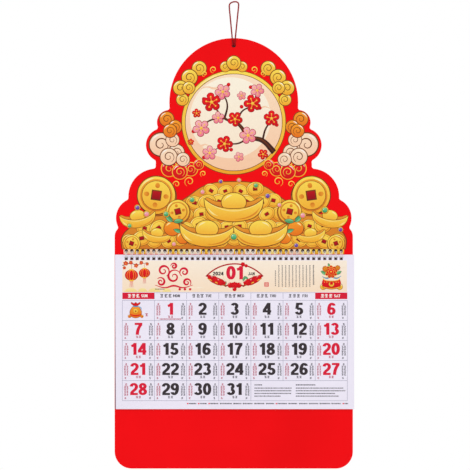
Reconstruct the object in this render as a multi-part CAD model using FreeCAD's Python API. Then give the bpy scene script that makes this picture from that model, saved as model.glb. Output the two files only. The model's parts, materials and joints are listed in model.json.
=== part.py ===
"""Hanging wall calendar: a die-cut backing board, a pad of month pages on a twin-loop wire, and a cord.

Millimetres, +Z up. The front faces -Y and the wall is on the +Y side.
The origin is the point where the cord's top run rests on its nail, in the plane of the cord's strands.
"""

import FreeCAD, Part
import math
import os
from FreeCAD import Vector

# Backing board
board_width = 366.0
board_height = 661.5
board_thickness = 0.8
bottom_corner_radius = 26.0
shoulder_corner_radius = 16.0
inner_corner_radius = 4.0

# Die-cut header, with heights counted from the wire's axis
header_height = 332.5
shoulder_height = 44.0
crown_radius = 99.0
body_radius = 120.0
body_height = 104.0
# Each lobe of the outline is made on both sides: distance from the middle, height and radius.
cloud_lobes = [(99.0, 203.0, 19.0), (109.0, 168.0, 26.0), (96.0, 138.0, 24.0)]
coin_lobes = [(119.0, 89.0, 43.0), (150.0, 56.0, 31.0)]

# Twin-loop wire at three loops to the inch, as many loops as fit between the margins
loop_pitch = 25.4 / 3
wire_side_margin = 17.0
ring_radius = 5.0
wire_diameter = 1.0
leg_spacing = 2.1
wire_sides = 6
loop_steps = 10
tip_gap_angle = 30.0
tip_width_share = 0.45
root_chamfer = 0.6

# Pad of month pages, cut a little wider than the board and a little to the right of its middle
page_extra_width = 1.0
page_side_shift = 1.2
page_height = 237.0
pad_thickness = 1.4
punch_margin = 5.8

# Clearances
pad_board_gap = 0.3
page_wire_gap = 0.1
board_wire_gap = 0.2
punch_play = 0.9
board_hole_play = 0.55
hanging_hole_play = 0.75

# Hanging cord, doubled from a knot behind the board, over the nail and back
cord_diameter = 2.4
cord_board_gap = 0.1
strand_gap = 0.3
crown_drop = 54.3
hanging_hole_drop = 11.3
strand_rise_in_hole = 0.55
cord_top_left = -7.6
cord_top_right = 8.2
cord_top_tilt = 2.1
cord_corner_radius = 2.6
cord_exit_radius = 2.1

# Knot, wider than the hole that it stops
knot_overhang = 1.1
knot_depth = 4.6
knot_edge = 1.8

# Places that follow from the sizes
cord_radius = cord_diameter / 2
wire_radius = wire_diameter / 2
board_front = cord_radius + cord_board_gap
board_back = board_front + board_thickness
pad_back = board_front - pad_board_gap
pad_front = pad_back - pad_thickness
ring_y = (pad_back + pad_front) / 2
crown_z = -crown_drop
board_bottom_z = crown_z - board_height
ring_z = crown_z - header_height
hanging_hole_z = crown_z - hanging_hole_drop
half_leg = leg_spacing / 2
loop_count = int((board_width - 2 * wire_side_margin) / loop_pitch) + 1
page_width = board_width + page_extra_width
punch_size = leg_spacing + wire_diameter + punch_play
board_hole_radius = half_leg + wire_radius + board_hole_play
strand_spacing = cord_diameter + strand_gap
hanging_hole_radius = strand_spacing / 2 + cord_radius + hanging_hole_play
knot_radius = hanging_hole_radius + knot_overhang


def disc_face(x, z, radius):
    """A flat round face in the plane of the board's front."""
    circle = Part.Circle(Vector(x, board_front, z), Vector(0, -1, 0), radius)
    return Part.Face(Part.Wire(circle.toShape()))


def rounded_panel_face(width, bottom_z, top_z, bottom_radius, top_radius):
    """A flat rectangle with rounded corners in the plane of the board's front."""
    half = width / 2

    def at(x, z):
        return Vector(x, board_front, z)

    def corner(cx, cz, radius, start_angle):
        """The quarter arc that starts at start_angle and turns anticlockwise seen from the front."""
        angles = [math.radians(start_angle + step) for step in (0, 45, 90)]
        points = [at(cx + radius * math.cos(a), cz + radius * math.sin(a)) for a in angles]
        return Part.Arc(*points).toShape()

    low, high = bottom_radius, top_radius
    edges = [
        Part.LineSegment(at(-half + low, bottom_z), at(half - low, bottom_z)).toShape(),
        corner(half - low, bottom_z + low, low, 270),
        Part.LineSegment(at(half, bottom_z + low), at(half, top_z - high)).toShape(),
        corner(half - high, top_z - high, high, 0),
        Part.LineSegment(at(half - high, top_z), at(-half + high, top_z)).toShape(),
        corner(-half + high, top_z - high, high, 90),
        Part.LineSegment(at(-half, top_z - high), at(-half, bottom_z + low)).toShape(),
        corner(-half + low, bottom_z + low, low, 180),
    ]
    return Part.Face(Part.Wire(edges))


def board_outline():
    """The die-cut outline: a plain panel, and lobes that narrow to the crown, with rounded inner corners."""
    panel_top = ring_z + shoulder_height
    low, high = bottom_corner_radius, shoulder_corner_radius
    faces = [
        rounded_panel_face(board_width, board_bottom_z, panel_top, low, high),
        disc_face(0, crown_z - crown_radius, crown_radius),
        disc_face(0, ring_z + body_height, body_radius),
    ]
    for x, height, radius in cloud_lobes + coin_lobes:
        faces += [disc_face(side * x, ring_z + height, radius) for side in (-1, 1)]
    merged = faces[0].multiFuse(faces[1:]).removeSplitter()
    outline = merged.Faces[0]
    grown = outline.makeOffset2D(inner_corner_radius)
    return grown.makeOffset2D(-inner_corner_radius).Faces[0]


def loop_centres():
    """The middle of each loop across the board."""
    first = -(loop_count - 1) * loop_pitch / 2
    return [first + i * loop_pitch for i in range(loop_count)]


def board_hole_heights():
    """The heights of the two rows of board holes: the wire hangs near the lower edge of each hole."""
    back_distance = board_back - ring_y
    crossing = math.sqrt(ring_radius**2 - back_distance**2)
    lean = 1 / math.cos(math.asin(back_distance / ring_radius))
    reach = board_hole_radius - board_wire_gap - wire_radius * lean
    rise = math.sqrt(reach**2 - half_leg**2)
    return ring_z + crossing + rise, ring_z - crossing + rise


def make_backing_board():
    """One card with two rows of round wire holes and the hanging hole."""
    card = board_outline().extrude(Vector(0, board_thickness, 0))

    def drill(x, z, radius):
        """A round drill that reaches past both faces of the card."""
        start = Vector(x, board_front - board_thickness, z)
        return Part.makeCylinder(radius, 3 * board_thickness, start, Vector(0, 1, 0))

    drills = [drill(x, z, board_hole_radius) for z in board_hole_heights() for x in loop_centres()]
    drills.append(drill(0, hanging_hole_z, hanging_hole_radius))
    return card.cut(Part.makeCompound(drills))


def punch_inner_edge():
    """The distance from the wire's axis to the page holes' near edge, just inside the wire's flats."""
    flat_radius = ring_radius * math.cos(math.pi / loop_steps) - wire_radius - page_wire_gap
    return math.sqrt(flat_radius**2 - (pad_thickness / 2) ** 2)


def make_month_pages():
    """The pages, cover to last month, as one pad with a row of square punched holes along its top."""
    hole_z = ring_z - punch_inner_edge() - punch_size / 2
    corner = Vector(page_side_shift - page_width / 2, pad_front, hole_z + punch_margin - page_height)
    pad = Part.makeBox(page_width, pad_thickness, page_height, corner)

    def punch(x):
        """A square punch that reaches past both faces of the pad."""
        start = Vector(x - punch_size / 2, pad_front - pad_thickness, hole_z - punch_size / 2)
        return Part.makeBox(punch_size, 3 * pad_thickness, punch_size, start)

    return pad.cut(Part.makeCompound([punch(x) for x in loop_centres()]))


def on_ring(x, angle):
    """A point of the wire's middle line: angle 0 is at the back, 90 at the top and 180 at the front."""
    turn = math.radians(angle)
    return Vector(x, ring_y + ring_radius * math.cos(turn), ring_z + ring_radius * math.sin(turn))


def wire_route():
    """The wire's middle line: each loop goes round the front to a rounded tip and back again."""
    step = 360.0 / loop_steps
    tip_angle = 360.0 - tip_gap_angle
    leg_angles = [step * i for i in range(1, loop_steps) if step * i < tip_angle - step]
    chamfer_angle = math.degrees(root_chamfer / ring_radius)
    bend_angle = tip_angle - math.degrees(half_leg / ring_radius)
    points = []
    for middle in loop_centres():
        left, right = middle - half_leg, middle + half_leg
        points += [on_ring(left - root_chamfer, 0), on_ring(left, chamfer_angle)]
        points += [on_ring(left, a) for a in leg_angles]
        points += [on_ring(left, bend_angle), on_ring(middle - half_leg * tip_width_share, tip_angle)]
        points += [on_ring(middle + half_leg * tip_width_share, tip_angle), on_ring(right, bend_angle)]
        points += [on_ring(right, a) for a in reversed(leg_angles)]
        points += [on_ring(right, chamfer_angle), on_ring(right + root_chamfer, 0)]
    return points


def flat_sided_tube(points, radius, sides):
    """A closed tube of flat sides along straight runs, mitred at each point."""
    along = [(b - a).normalize() for a, b in zip(points, points[1:])]
    start = along[0].cross(Vector(0, 0, 1)).normalize()
    other = along[0].cross(start).normalize()
    ring = []
    for i in range(sides):
        turn = 2 * math.pi * i / sides
        ring.append(points[0] + start * (radius * math.cos(turn)) + other * (radius * math.sin(turn)))
    rings = [ring]
    for i in range(1, len(points)):
        direction = along[i - 1]
        normal = direction + along[i] if i < len(along) else direction
        pace = direction.dot(normal)
        rings.append([p + direction * ((points[i] - p).dot(normal) / pace) for p in rings[-1]])
    faces = [Part.Face(Part.makePolygon(rings[0] + [rings[0][0]]))]
    for near, far in zip(rings, rings[1:]):
        for i in range(sides):
            j = (i + 1) % sides
            faces.append(Part.Face(Part.makePolygon([near[i], near[j], far[j], far[i], near[i]])))
    faces.append(Part.Face(Part.makePolygon(rings[-1] + [rings[-1][0]])))
    shell = Part.makeShell(faces)
    shell.sewShape()
    solid = Part.makeSolid(Part.Shell(shell.Faces))
    if solid.Volume < 0:
        solid.reverse()
    return solid


def rounded_path(points, radii):
    """Straight runs through the points, with an arc of the given radius at each inner point."""
    edges = []
    here = points[0]
    for i in range(1, len(points) - 1):
        back = (points[i - 1] - points[i]).normalize()
        on = (points[i + 1] - points[i]).normalize()
        half_turn = (math.pi - back.getAngle(on)) / 2
        tangent = radii[i - 1] * math.tan(half_turn)
        entry, leave = points[i] + back * tangent, points[i] + on * tangent
        inward = (back + on).normalize()
        crest = points[i] + inward * (radii[i - 1] / math.cos(half_turn) - radii[i - 1])
        edges += [Part.LineSegment(here, entry).toShape(), Part.Arc(entry, crest, leave).toShape()]
        here = leave
    edges.append(Part.LineSegment(here, points[-1]).toShape())
    return Part.Wire(edges)


def cord_route():
    """From the knot out through the hanging hole, up and over the nail, and back down through the hole."""
    half_strand = strand_spacing / 2
    knot_face = board_back + cord_board_gap
    in_hole_z = hanging_hole_z + strand_rise_in_hole
    span = cord_top_right - cord_top_left

    def top_run(x):
        """The top run's middle line passes one cord radius above the nail."""
        return cord_radius + cord_top_tilt * x / span

    return [
        Vector(-half_strand, knot_face, in_hole_z),
        Vector(-half_strand, 0, in_hole_z),
        Vector(cord_top_left, 0, top_run(cord_top_left)),
        Vector(cord_top_right, 0, top_run(cord_top_right)),
        Vector(half_strand, 0, in_hole_z),
        Vector(half_strand, knot_face, in_hole_z),
    ]


def make_hanging_cord():
    """A round cord along its route, both ends square on the knot's face."""
    points = cord_route()
    radii = [cord_exit_radius, cord_corner_radius, cord_corner_radius, cord_exit_radius]
    path = rounded_path(points, radii)
    section = Part.Wire(Part.Circle(points[0], Vector(0, 1, 0), cord_radius).toShape())
    cord = path.makePipeShell([section], True, True)
    print("cord radii:", radii)
    print("cord length: %.1f, volume: %.1f" % (path.Length, cord.Volume))
    print("cord section times length: %.1f" % (math.pi * cord_radius**2 * path.Length))
    return cord


def make_cord_knot():
    """The knot behind the board, as one rounded solid wider than the hanging hole."""
    middle = Vector(0, board_back + cord_board_gap, hanging_hole_z + strand_rise_in_hole)
    puck = Part.makeCylinder(knot_radius, knot_depth, middle, Vector(0, 1, 0))
    rims = [e for e in puck.Edges if isinstance(e.Curve, Part.Circle)]
    return puck.makeFillet(min(knot_edge, 0.45 * knot_depth), rims)


def main():
    os.makedirs("parts", exist_ok=True)
    nodes = {
        "backing_board": make_backing_board(),
        "month_pages": make_month_pages(),
        "binding_wire": flat_sided_tube(wire_route(), wire_radius, wire_sides),
        "hanging_cord": make_hanging_cord(),
        "cord_knot": make_cord_knot(),
    }
    for name, shape in nodes.items():
        solids = len(shape.Solids)
        print("%s: %d solid, valid %s, volume %.1f" % (name, solids, shape.isValid(), shape.Volume))
        shape.exportStep("parts/%s.step" % name)


main()
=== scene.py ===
# Hanging wall calendar: printed die-cut card, month pages on a twin-loop wire, and a cord to hang it by.
# The scene is in metres. Print is laid out in millimetres from the wire's axis: x to the right, y up.
import bmesh
import bpy
import json
import random
from math import cos, degrees, pi, radians, sin
from mathutils import Matrix, Vector


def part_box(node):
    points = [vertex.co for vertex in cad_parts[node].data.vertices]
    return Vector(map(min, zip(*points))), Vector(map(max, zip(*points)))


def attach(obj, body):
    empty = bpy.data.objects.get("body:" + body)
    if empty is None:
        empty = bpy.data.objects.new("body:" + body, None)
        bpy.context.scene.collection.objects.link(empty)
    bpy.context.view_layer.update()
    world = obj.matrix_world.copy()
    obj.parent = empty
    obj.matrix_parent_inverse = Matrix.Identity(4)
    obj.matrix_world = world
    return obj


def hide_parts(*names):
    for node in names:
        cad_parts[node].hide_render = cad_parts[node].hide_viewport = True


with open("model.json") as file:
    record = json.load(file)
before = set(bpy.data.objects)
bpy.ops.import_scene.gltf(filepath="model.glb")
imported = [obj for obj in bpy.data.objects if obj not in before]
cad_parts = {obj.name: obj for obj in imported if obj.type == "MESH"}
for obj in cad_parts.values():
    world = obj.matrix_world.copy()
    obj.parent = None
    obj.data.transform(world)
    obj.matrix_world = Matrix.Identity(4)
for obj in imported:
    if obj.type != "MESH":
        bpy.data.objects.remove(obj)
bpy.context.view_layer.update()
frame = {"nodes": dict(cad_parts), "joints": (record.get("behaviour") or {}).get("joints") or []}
mm = 0.001
wireAxis = Vector(frame["joints"][0]["pos_m"])
boardLow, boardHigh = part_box("backing_board")
padLow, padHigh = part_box("month_pages")
bpy.ops.object.select_all(action="DESELECT")
print("frame loaded")


# Short cuts for objects


def shift(x, y, z=0.0):
    return Matrix.Translation((x, y, z))


def spin(angle):
    return Matrix.Rotation(radians(angle), 4, "Z")


def addObject(name, data):
    item = bpy.data.objects.new(name, data)
    bpy.context.scene.collection.objects.link(item)
    return item


def curveMesh(curve):
    holder = addObject(curve.name, curve)
    bpy.context.view_layer.update()
    mesh = bpy.data.meshes.new_from_object(holder)
    bpy.data.objects.remove(holder)
    return mesh


def selectOnly(*items):
    # The last one becomes the active one, which the others join
    bpy.ops.object.select_all(action="DESELECT")
    for item in items:
        item.select_set(True)
    bpy.context.view_layer.objects.active = items[-1]


def smoothFaces(piece):
    selectOnly(piece)
    bpy.ops.object.shade_smooth_by_angle(angle=radians(60))


def finishPiece(piece, material, body):
    piece.data.materials.clear()
    piece.data.materials.append(material)
    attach(piece, body)


def tubeObject(name, lines, radius, sides=2, closed=False):
    # Round tubes along lists of points, as one mesh object at the origin
    curve = bpy.data.curves.new(name, "CURVE")
    curve.dimensions = "3D"
    curve.bevel_depth = radius
    curve.bevel_resolution = sides
    curve.use_fill_caps = not closed
    for line in lines:
        spline = curve.splines.new("POLY")
        spline.points.add(len(line) - 1)
        for point, place in zip(spline.points, line):
            point.co = (*place, 1)
        spline.use_cyclic_u = closed
    return addObject(name, curveMesh(curve))


# Short cuts for nodes and materials. A node's value is a constant or another node's output


def inkColour(red, green, blue):
    def linear(value):
        value /= 255
        return value / 12.92 if value <= 0.04045 else ((value + 0.055) / 1.055) ** 2.4
    return (linear(red), linear(green), linear(blue), 1)


def newMaterial(name):
    material = bpy.data.materials.new(name)
    material.use_nodes = True
    return material, material.node_tree, material.node_tree.nodes["Principled BSDF"]


def wire(tree, node, values):
    for label, value in values.items():
        if isinstance(value, bpy.types.NodeSocket):
            tree.links.new(value, node.inputs[label])
        else:
            node.inputs[label].default_value = value


def addNode(tree, kind, values=(), **settings):
    node = tree.nodes.new("ShaderNode" + kind)
    for label, value in settings.items():
        setattr(node, label, value)
    wire(tree, node, dict(values))
    return node


def reckon(tree, operation, *values, **settings):
    return addNode(tree, "Math", enumerate(values), operation=operation, **settings).outputs[0]


def mapped(tree, value, toLow, toHigh, low=0.0, high=1.0):
    return addNode(tree, "MapRange", {
        "Value": value, "From Min": low, "From Max": high, "To Min": toLow, "To Max": toHigh,
    }).outputs["Result"]


def mixed(tree, factor, first, second):
    return addNode(tree, "Mix", {"Factor": factor, 6: first, 7: second}, data_type="RGBA").outputs[2]


def bump(tree, height, strength, distance):
    values = {"Strength": strength, "Distance": distance, "Height": height}
    return addNode(tree, "Bump", values).outputs["Normal"]


def newGroup(name, inputs, outputs):
    group = bpy.data.node_groups.new(name, "ShaderNodeTree")
    for side, sockets in (("INPUT", inputs), ("OUTPUT", outputs)):
        for label, value in sockets.items():
            kind = "NodeSocketColor" if isinstance(value, tuple) else "NodeSocketFloat"
            group.interface.new_socket(label, in_out=side, socket_type=kind).default_value = value
    return group, group.nodes.new("NodeGroupInput").outputs, group.nodes.new("NodeGroupOutput")


def makeGrainGroup():
    # Fine is the fibre or orange peel of the surface, Broad its slow unevenness
    group, entry, exit = newGroup(
        "surfaceGrain", {"Scale": 900.0, "Mottle": 12.0}, {"Fine": 0.0, "Broad": 0.0})
    place = addNode(group, "TexCoord").outputs["Object"]
    for label, scale, detail in (("Fine", "Scale", 3.0), ("Broad", "Mottle", 2.0)):
        noise = addNode(group, "TexNoise", {"Vector": place, "Scale": entry[scale], "Detail": detail})
        wire(group, exit, {label: noise.outputs["Fac"]})
    return group


def makeToneGroup():
    # Blends an ink from its lower to its upper colour by the "tone" kept on the print's points
    group, entry, exit = newGroup(
        "inkTone", {"Upper": (1, 1, 1, 1), "Lower": (0.5, 0.5, 0.5, 1), "Speck": 0.3},
        {"Color": (0, 0, 0, 1), "Height": 0.0})
    tone = addNode(group, "Attribute", attribute_name="tone").outputs["Fac"]
    speck = addNode(group, "Group", {"Scale": 520.0}, node_tree=grainGroup).outputs["Fine"]
    share = reckon(group, "MULTIPLY_ADD", reckon(group, "SUBTRACT", speck, 0.5), entry["Speck"], tone)
    wire(group, exit, {"Color": mixed(group, share, entry["Lower"], entry["Upper"]), "Height": speck})
    return group


grainGroup = makeGrainGroup()
toneGroup = makeToneGroup()


def addGrain(tree, scale, mottle):
    grain = addNode(tree, "Group", {"Scale": scale, "Mottle": mottle}, node_tree=grainGroup)
    return grain.outputs["Fine"], grain.outputs["Broad"]


print("node groups made")


# Camera, lamps and stage

cameraSetup = {"distance": 3.2, "widthInView": 0.7222, "centre": (0.0019, -0.3569), "sensor": 36.0}
lampSetup = {
    # name: (place, turn in degrees, size, watts)
    "keyLamp": ((-1.5, -2.4, 0.7), (62, 0, -32), 1.8, 18.6),
    "fillLamp": ((1.7, -2.3, 0.1), (76, 0, 36), 1.8, 12),
    "backLamp": ((0.4, 2.3, 0.6), (-66, 0, -8), 1.6, 14),
}
stageSetup = {"floorDrop": 0.34, "floorSize": 3.2, "skyForObject": 0.66, "floorColour": (238, 237, 235)}
wallSetup = {
    "gap": 0.0005,
    # middle's height, half width and half height behind the wire's holes and behind the hanging hole
    "patches": [(-0.3868, 0.168, 0.0085), (-0.0655, 0.008, 0.008)],
    # colour of the painted shadow
    "colour": (44, 26, 26),
}


def setCamera(setup):
    x, z = setup["centre"]
    place = (x, boardLow.y - setup["distance"], z)
    bpy.ops.object.camera_add(location=place, rotation=(pi / 2, 0, 0))
    camera = bpy.context.object
    camera.data.sensor_width = setup["sensor"]
    camera.data.lens = setup["sensor"] * setup["distance"] / setup["widthInView"]
    bpy.context.scene.camera = camera


def setLamps(lamps):
    for name, (place, turn, size, watts) in lamps.items():
        bpy.ops.object.light_add(type="AREA", location=place, rotation=[radians(t) for t in turn])
        lamp = bpy.context.object
        lamp.name = name
        lamp.data.size = size
        lamp.data.energy = watts


def setStage(setup):
    # The sky is white to the camera and in what shines, and dimmer where it lights the object
    world = bpy.data.worlds.new("studio")
    world.use_nodes = True
    tree = world.node_tree
    path = addNode(tree, "LightPath").outputs
    seen = reckon(tree, "MAXIMUM", path["Is Camera Ray"], path["Is Glossy Ray"])
    seen = reckon(tree, "MAXIMUM", seen, path["Is Transmission Ray"])
    strength = mapped(tree, seen, setup["skyForObject"], 1)
    wire(tree, tree.nodes["Background"], {"Color": (1, 1, 1, 1), "Strength": strength})
    bpy.context.scene.world = world

    floorPlace = (0, 0, boardLow.z - setup["floorDrop"])
    bpy.ops.mesh.primitive_plane_add(size=setup["floorSize"], location=floorPlace)
    floor = bpy.context.object
    floor.name = "floor"
    material, tree, bsdf = newMaterial("paleFloor")
    wire(tree, bsdf, {"Base Color": inkColour(*setup["floorColour"]), "Roughness": 0.8})
    floor.data.materials.append(material)


def setWallShade(setup):
    # A dark patch of painted shadow stands for the wall where it shows through the card's punched holes. It
    # is seen from the front only
    mesh = bpy.data.meshes.new("wallShade")
    mesh.from_pydata([
        (x * halfWidth, boardHigh.y + setup["gap"], middle + z * halfHeight)
        for middle, halfWidth, halfHeight in setup["patches"] for x, z in ((-1, -1), (1, -1), (1, 1), (-1, 1))
    ], [], [(0, 1, 2, 3), (4, 5, 6, 7)])
    material, tree, bsdf = newMaterial("shadedWall")
    wire(tree, bsdf, {"Base Color": inkColour(*setup["colour"]), "Roughness": 0.9})
    camera = addNode(tree, "LightPath").outputs["Is Camera Ray"]
    behind = addNode(tree, "NewGeometry").outputs["Backfacing"]
    front = reckon(tree, "SUBTRACT", camera, behind, use_clamp=True)
    clear = addNode(tree, "BsdfTransparent").outputs[0]
    choice = addNode(tree, "MixShader", {"Fac": front, 1: clear, 2: bsdf.outputs[0]})
    wire(tree, tree.nodes["Material Output"], {"Surface": choice.outputs[0]})
    mesh.materials.append(material)
    addObject("wallShade", mesh)


setCamera(cameraSetup)
setLamps(lampSetup)
setStage(stageSetup)
setWallShade(wallSetup)
bpy.context.scene.view_settings.view_transform = "Standard"
print("camera, lamps and floor set")


# Hanging cord: three twisted strands round one line, out of the hanging hole, over the nail and back

cordSetup = {
    # the same points as the solid's route, with one more beside each corner of the long runs
    "route": [
        (-0.00135, 0.0022, -0.06505), (-0.00135, 0.0, -0.06505), (-0.00156, 0.0, -0.06286),
        (-0.00623, 0.0, -0.01414), (-0.0076, 0.0, 0.00019), (0.0082, 0.0, 0.00229),
        (0.00674, 0.0, -0.01204), (0.00157, 0.0, -0.06286), (0.00135, 0.0, -0.06505),
        (0.00135, 0.0022, -0.06505),
    ],
    "curveSteps": 14,
    "step": 0.0006,
    "diameter": 0.0024,
    "length": 0.1488,
    "strands": 3,
    "strandRadius": 0.0007,
    "twistPitch": 0.0074,
    "colour": (168, 12, 22),
    "shade": (96, 4, 12),
}
knotSetup = {
    "reach": 0.00112, "depth": 0.00115, "strand": 0.0012, "points": 72,
    # a tail's half distance and drop from the knot's middle, its length and its lean
    "tailSide": 0.0011, "tailDrop": 0.0008, "tails": 0.0056, "lean": 0.0009,
}


def cordLine(setup):
    curve = bpy.data.curves.new("cordRoute", "CURVE")
    curve.dimensions = "3D"
    curve.resolution_u = setup["curveSteps"]
    spline = curve.splines.new("NURBS")
    spline.points.add(len(setup["route"]) - 1)
    for point, place in zip(spline.points, setup["route"]):
        point.co = (*place, 1)
    spline.order_u = 3
    spline.use_endpoint_u = True
    return [v.co.copy() for v in curveMesh(curve).vertices]


def evenSteps(points, step):
    # The same line, with points an even step apart
    result, spare = [points[0].copy()], 0.0
    for a, b in zip(points, points[1:]):
        run = (b - a).length
        at = step - spare
        while at < run:
            result.append(a.lerp(b, at / run))
            at += step
        spare = run - (at - step)
    result.append(points[-1].copy())
    return result


def makeCordMaterial(setup):
    material, tree, bsdf = newMaterial("redCord")
    fine, broad = addGrain(tree, 2600.0, 300.0)
    colour, shade = inkColour(*setup["colour"]), inkColour(*setup["shade"])
    lit = mapped(tree, broad, 0, 1, 0.35, 0.6)
    wire(tree, bsdf, {
        "Base Color": mixed(tree, lit, mixed(tree, fine, shade, colour), colour),
        "Roughness": mapped(tree, fine, 0.5, 0.8),
        "Specular IOR Level": 0.15,
        "Normal": bump(tree, fine, 0.5, 0.0001),
    })
    return material


def makeCord(setup):
    line = evenSteps(cordLine(setup), setup["step"])
    travel, strands = 0.0, [[] for i in range(setup["strands"])]
    reach = setup["diameter"] / 2 - setup["strandRadius"]
    for i, point in enumerate(line):
        ahead = (line[min(i + 1, len(line) - 1)] - line[max(i - 1, 0)]).normalized()
        side = ahead.cross(Vector((0, 1, 0.02))).normalized()
        up = ahead.cross(side)
        for k, strand in enumerate(strands):
            turn = 2 * pi * (travel / setup["twistPitch"] + k / len(strands))
            strand.append(point + side * (reach * cos(turn)) + up * (reach * sin(turn)))
        if i + 1 < len(line):
            travel += (line[i + 1] - point).length
    cord = tubeObject("hanging_cord_strands", strands, setup["strandRadius"], 1)
    smoothFaces(cord)
    return cord, line


def makeKnot(setup):
    # An overhand knot drawn tight, with its two tails hanging
    low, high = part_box("cord_knot")
    middle = (low + high) / 2
    loop, tails = [], []
    for i in range(setup["points"]):
        t = 2 * pi * i / setup["points"]
        loop.append(middle + Vector((
            setup["reach"] * (sin(t) + 2 * sin(2 * t)),
            -setup["depth"] * sin(3 * t),
            setup["reach"] * (cos(t) - 2 * cos(2 * t)),
        )))
    for side in (-1, 1):
        start = middle + Vector((side * setup["tailSide"], 0, -setup["tailDrop"]))
        tails.append([
            start, start + Vector((side * 0.0004, 0.0001, -setup["tails"] * 0.5)),
            start + Vector((side * setup["lean"], 0, -setup["tails"])),
        ])
    knot = tubeObject("cord_end_knot", [loop], setup["strand"], closed=True)
    ends = tubeObject("cord_ends", tails, setup["strand"] * 0.9)
    selectOnly(ends, knot)
    bpy.ops.object.join()
    smoothFaces(knot)
    return knot


redCord = makeCordMaterial(cordSetup)
hangingCord, cordPath = makeCord(cordSetup)
endKnot = makeKnot(knotSetup)
for piece in (hangingCord, endKnot):
    finishPiece(piece, redCord, "board")
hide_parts("hanging_cord")
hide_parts("cord_knot")
print("cord and knot made")


# Binding wire: one white wire bent into a twin loop for every hole

wireSetup = {
    "loops": 40,
    "pitch": 25.4 / 3 * mm,
    "ringRadius": 0.005,
    "wireRadius": 0.0005,
    "legHalf": 0.00105,
    "tipAngle": 330,
    "stepAngle": 15,
    "rootBend": 0.0006,
    "colour": (230, 229, 232),
    "worn": (204, 204, 208),
}


def loopMiddles(setup):
    half = (setup["loops"] - 1) / 2
    return [(i - half) * setup["pitch"] for i in range(setup["loops"])]


def makeWireLine(setup):
    # Each loop goes up one leg, round its tip and down the other leg, and bends to the next loop at its root
    half, root, radius, tip = setup["legHalf"], setup["rootBend"], setup["ringRadius"], setup["tipAngle"]
    bend, rootTurn = degrees(half / radius), degrees(root / radius)

    def onRing(x, angle):
        turn = radians(angle)
        return Vector((x, wireAxis.y + radius * cos(turn), wireAxis.z + radius * sin(turn)))

    leg = [(half + root, 0), (half + 0.3 * root, rootTurn * 0.3), (half, rootTurn)]
    leg += [(half, angle) for angle in range(setup["stepAngle"], int(tip - bend), setup["stepAngle"])]
    leg += [(half, tip - bend), (half * 0.87, tip - bend * 0.5), (half * 0.5, tip - bend * 0.13)]
    points = []
    for middle in loopMiddles(setup):
        points += [onRing(middle - reach, angle) for reach, angle in leg]
        points.append(onRing(middle, tip))
        points += [onRing(middle + reach, angle) for reach, angle in reversed(leg)]
    return points


def makeWireMaterial(setup):
    material, tree, bsdf = newMaterial("whiteCoatedWire")
    fine, broad = addGrain(tree, 1500.0, 120.0)
    wear = mapped(tree, broad, 0, 1, 0.45, 0.75)
    wire(tree, bsdf, {
        "Base Color": mixed(tree, wear, inkColour(*setup["colour"]), inkColour(*setup["worn"])),
        "Roughness": mapped(tree, broad, 0.2, 0.38),
        "Coat Weight": 0.5,
        "Normal": bump(tree, fine, 0.15, 0.00004),
    })
    return material


bindingWire = tubeObject("twin_loop_wire", [makeWireLine(wireSetup)], wireSetup["wireRadius"])
smoothFaces(bindingWire)
finishPiece(bindingWire, makeWireMaterial(wireSetup), "board")
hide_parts("binding_wire")
print("binding wire made")


# Card: red gloss film on the front, grey card behind, pale fibres on the cut edge

cardSetup = {
    "red": (252, 5, 15),
    "redShade": (242, 3, 11),
    "back": (196, 192, 186),
    "backShade": (176, 171, 164),
    "edge": (226, 214, 204),
    "edgeShade": (196, 170, 160),
}


def makeCardMaterial(setup):
    material, tree, bsdf = newMaterial("laminatedCard")
    colours = {name: inkColour(*colour) for name, colour in setup.items()}
    fine, broad = addGrain(tree, 700.0, 7.0)
    place = addNode(tree, "TexCoord").outputs
    facing = addNode(tree, "SeparateXYZ", {0: place["Normal"]}).outputs["Y"]
    isFront = mapped(tree, facing, 1, 0, -0.9, -0.7)
    isBack = mapped(tree, facing, 0, 1, 0.7, 0.9)
    plies = addNode(
        tree, "TexWave", {"Scale": 1900.0, "Distortion": 6.0, "Vector": place["Object"]}, bands_direction="Y")
    front = mixed(tree, mapped(tree, broad, 0, 1, 0.3, 0.7), colours["red"], colours["redShade"])
    back = mixed(tree, fine, colours["backShade"], colours["back"])
    edge = mixed(tree, plies.outputs["Fac"], colours["edgeShade"], colours["edge"])
    wire(tree, bsdf, {
        "Base Color": mixed(tree, isBack, mixed(tree, isFront, edge, front), back),
        "Roughness": mixed(tree, isFront, (0.85, 0.85, 0.85, 1), mapped(tree, broad, 0.34, 0.46)),
        "Specular IOR Level": 0.08,
        "Normal": bump(tree, mixed(tree, isFront, fine, broad), 0.2, 0.0001),
    })
    return material


board = frame["nodes"]["backing_board"]
board.data.materials.clear()
board.data.materials.append(makeCardMaterial(cardSetup))
print("card finished")


# Month pages: thin sheets with the pad's own punched outline, fanned a little towards the foot

padSetup = {
    "sheets": 13,
    "sheetShare": 0.86,
    "fanDegrees": 0.35,
    "strayX": 0.00018,
    "strayZ": 0.0003,
    "trim": 0.0013,
    "paper": (245, 240, 254),
    "paperShade": (235, 230, 246),
    # the rear sheet's grey: painted shadow of the pad down its left side
    "shadowGrey": (112, 106, 112),
    "shadowGreyShade": (92, 86, 92),
    "seed": 12,
}


def makePaperMaterial(name, paper, shade):
    material, tree, bsdf = newMaterial(name)
    fine, broad = addGrain(tree, 1300.0, 9.0)
    fibre, cloud = mapped(tree, fine, 0, 0.35, 0.35, 0.75), mapped(tree, broad, 0, 0.4, 0.35, 0.7)
    wire(tree, bsdf, {
        "Base Color": mixed(tree, reckon(tree, "ADD", fibre, cloud), inkColour(*paper), inkColour(*shade)),
        "Roughness": mapped(tree, fine, 0.5, 0.66),
        "Specular IOR Level": 0.3,
        "Normal": bump(tree, fine, 0.2, 0.00005),
    })
    return material


def sheetTurn(angle):
    return shift(*wireAxis) @ Matrix.Rotation(-radians(angle), 4, "X") @ shift(*-wireAxis)


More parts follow.
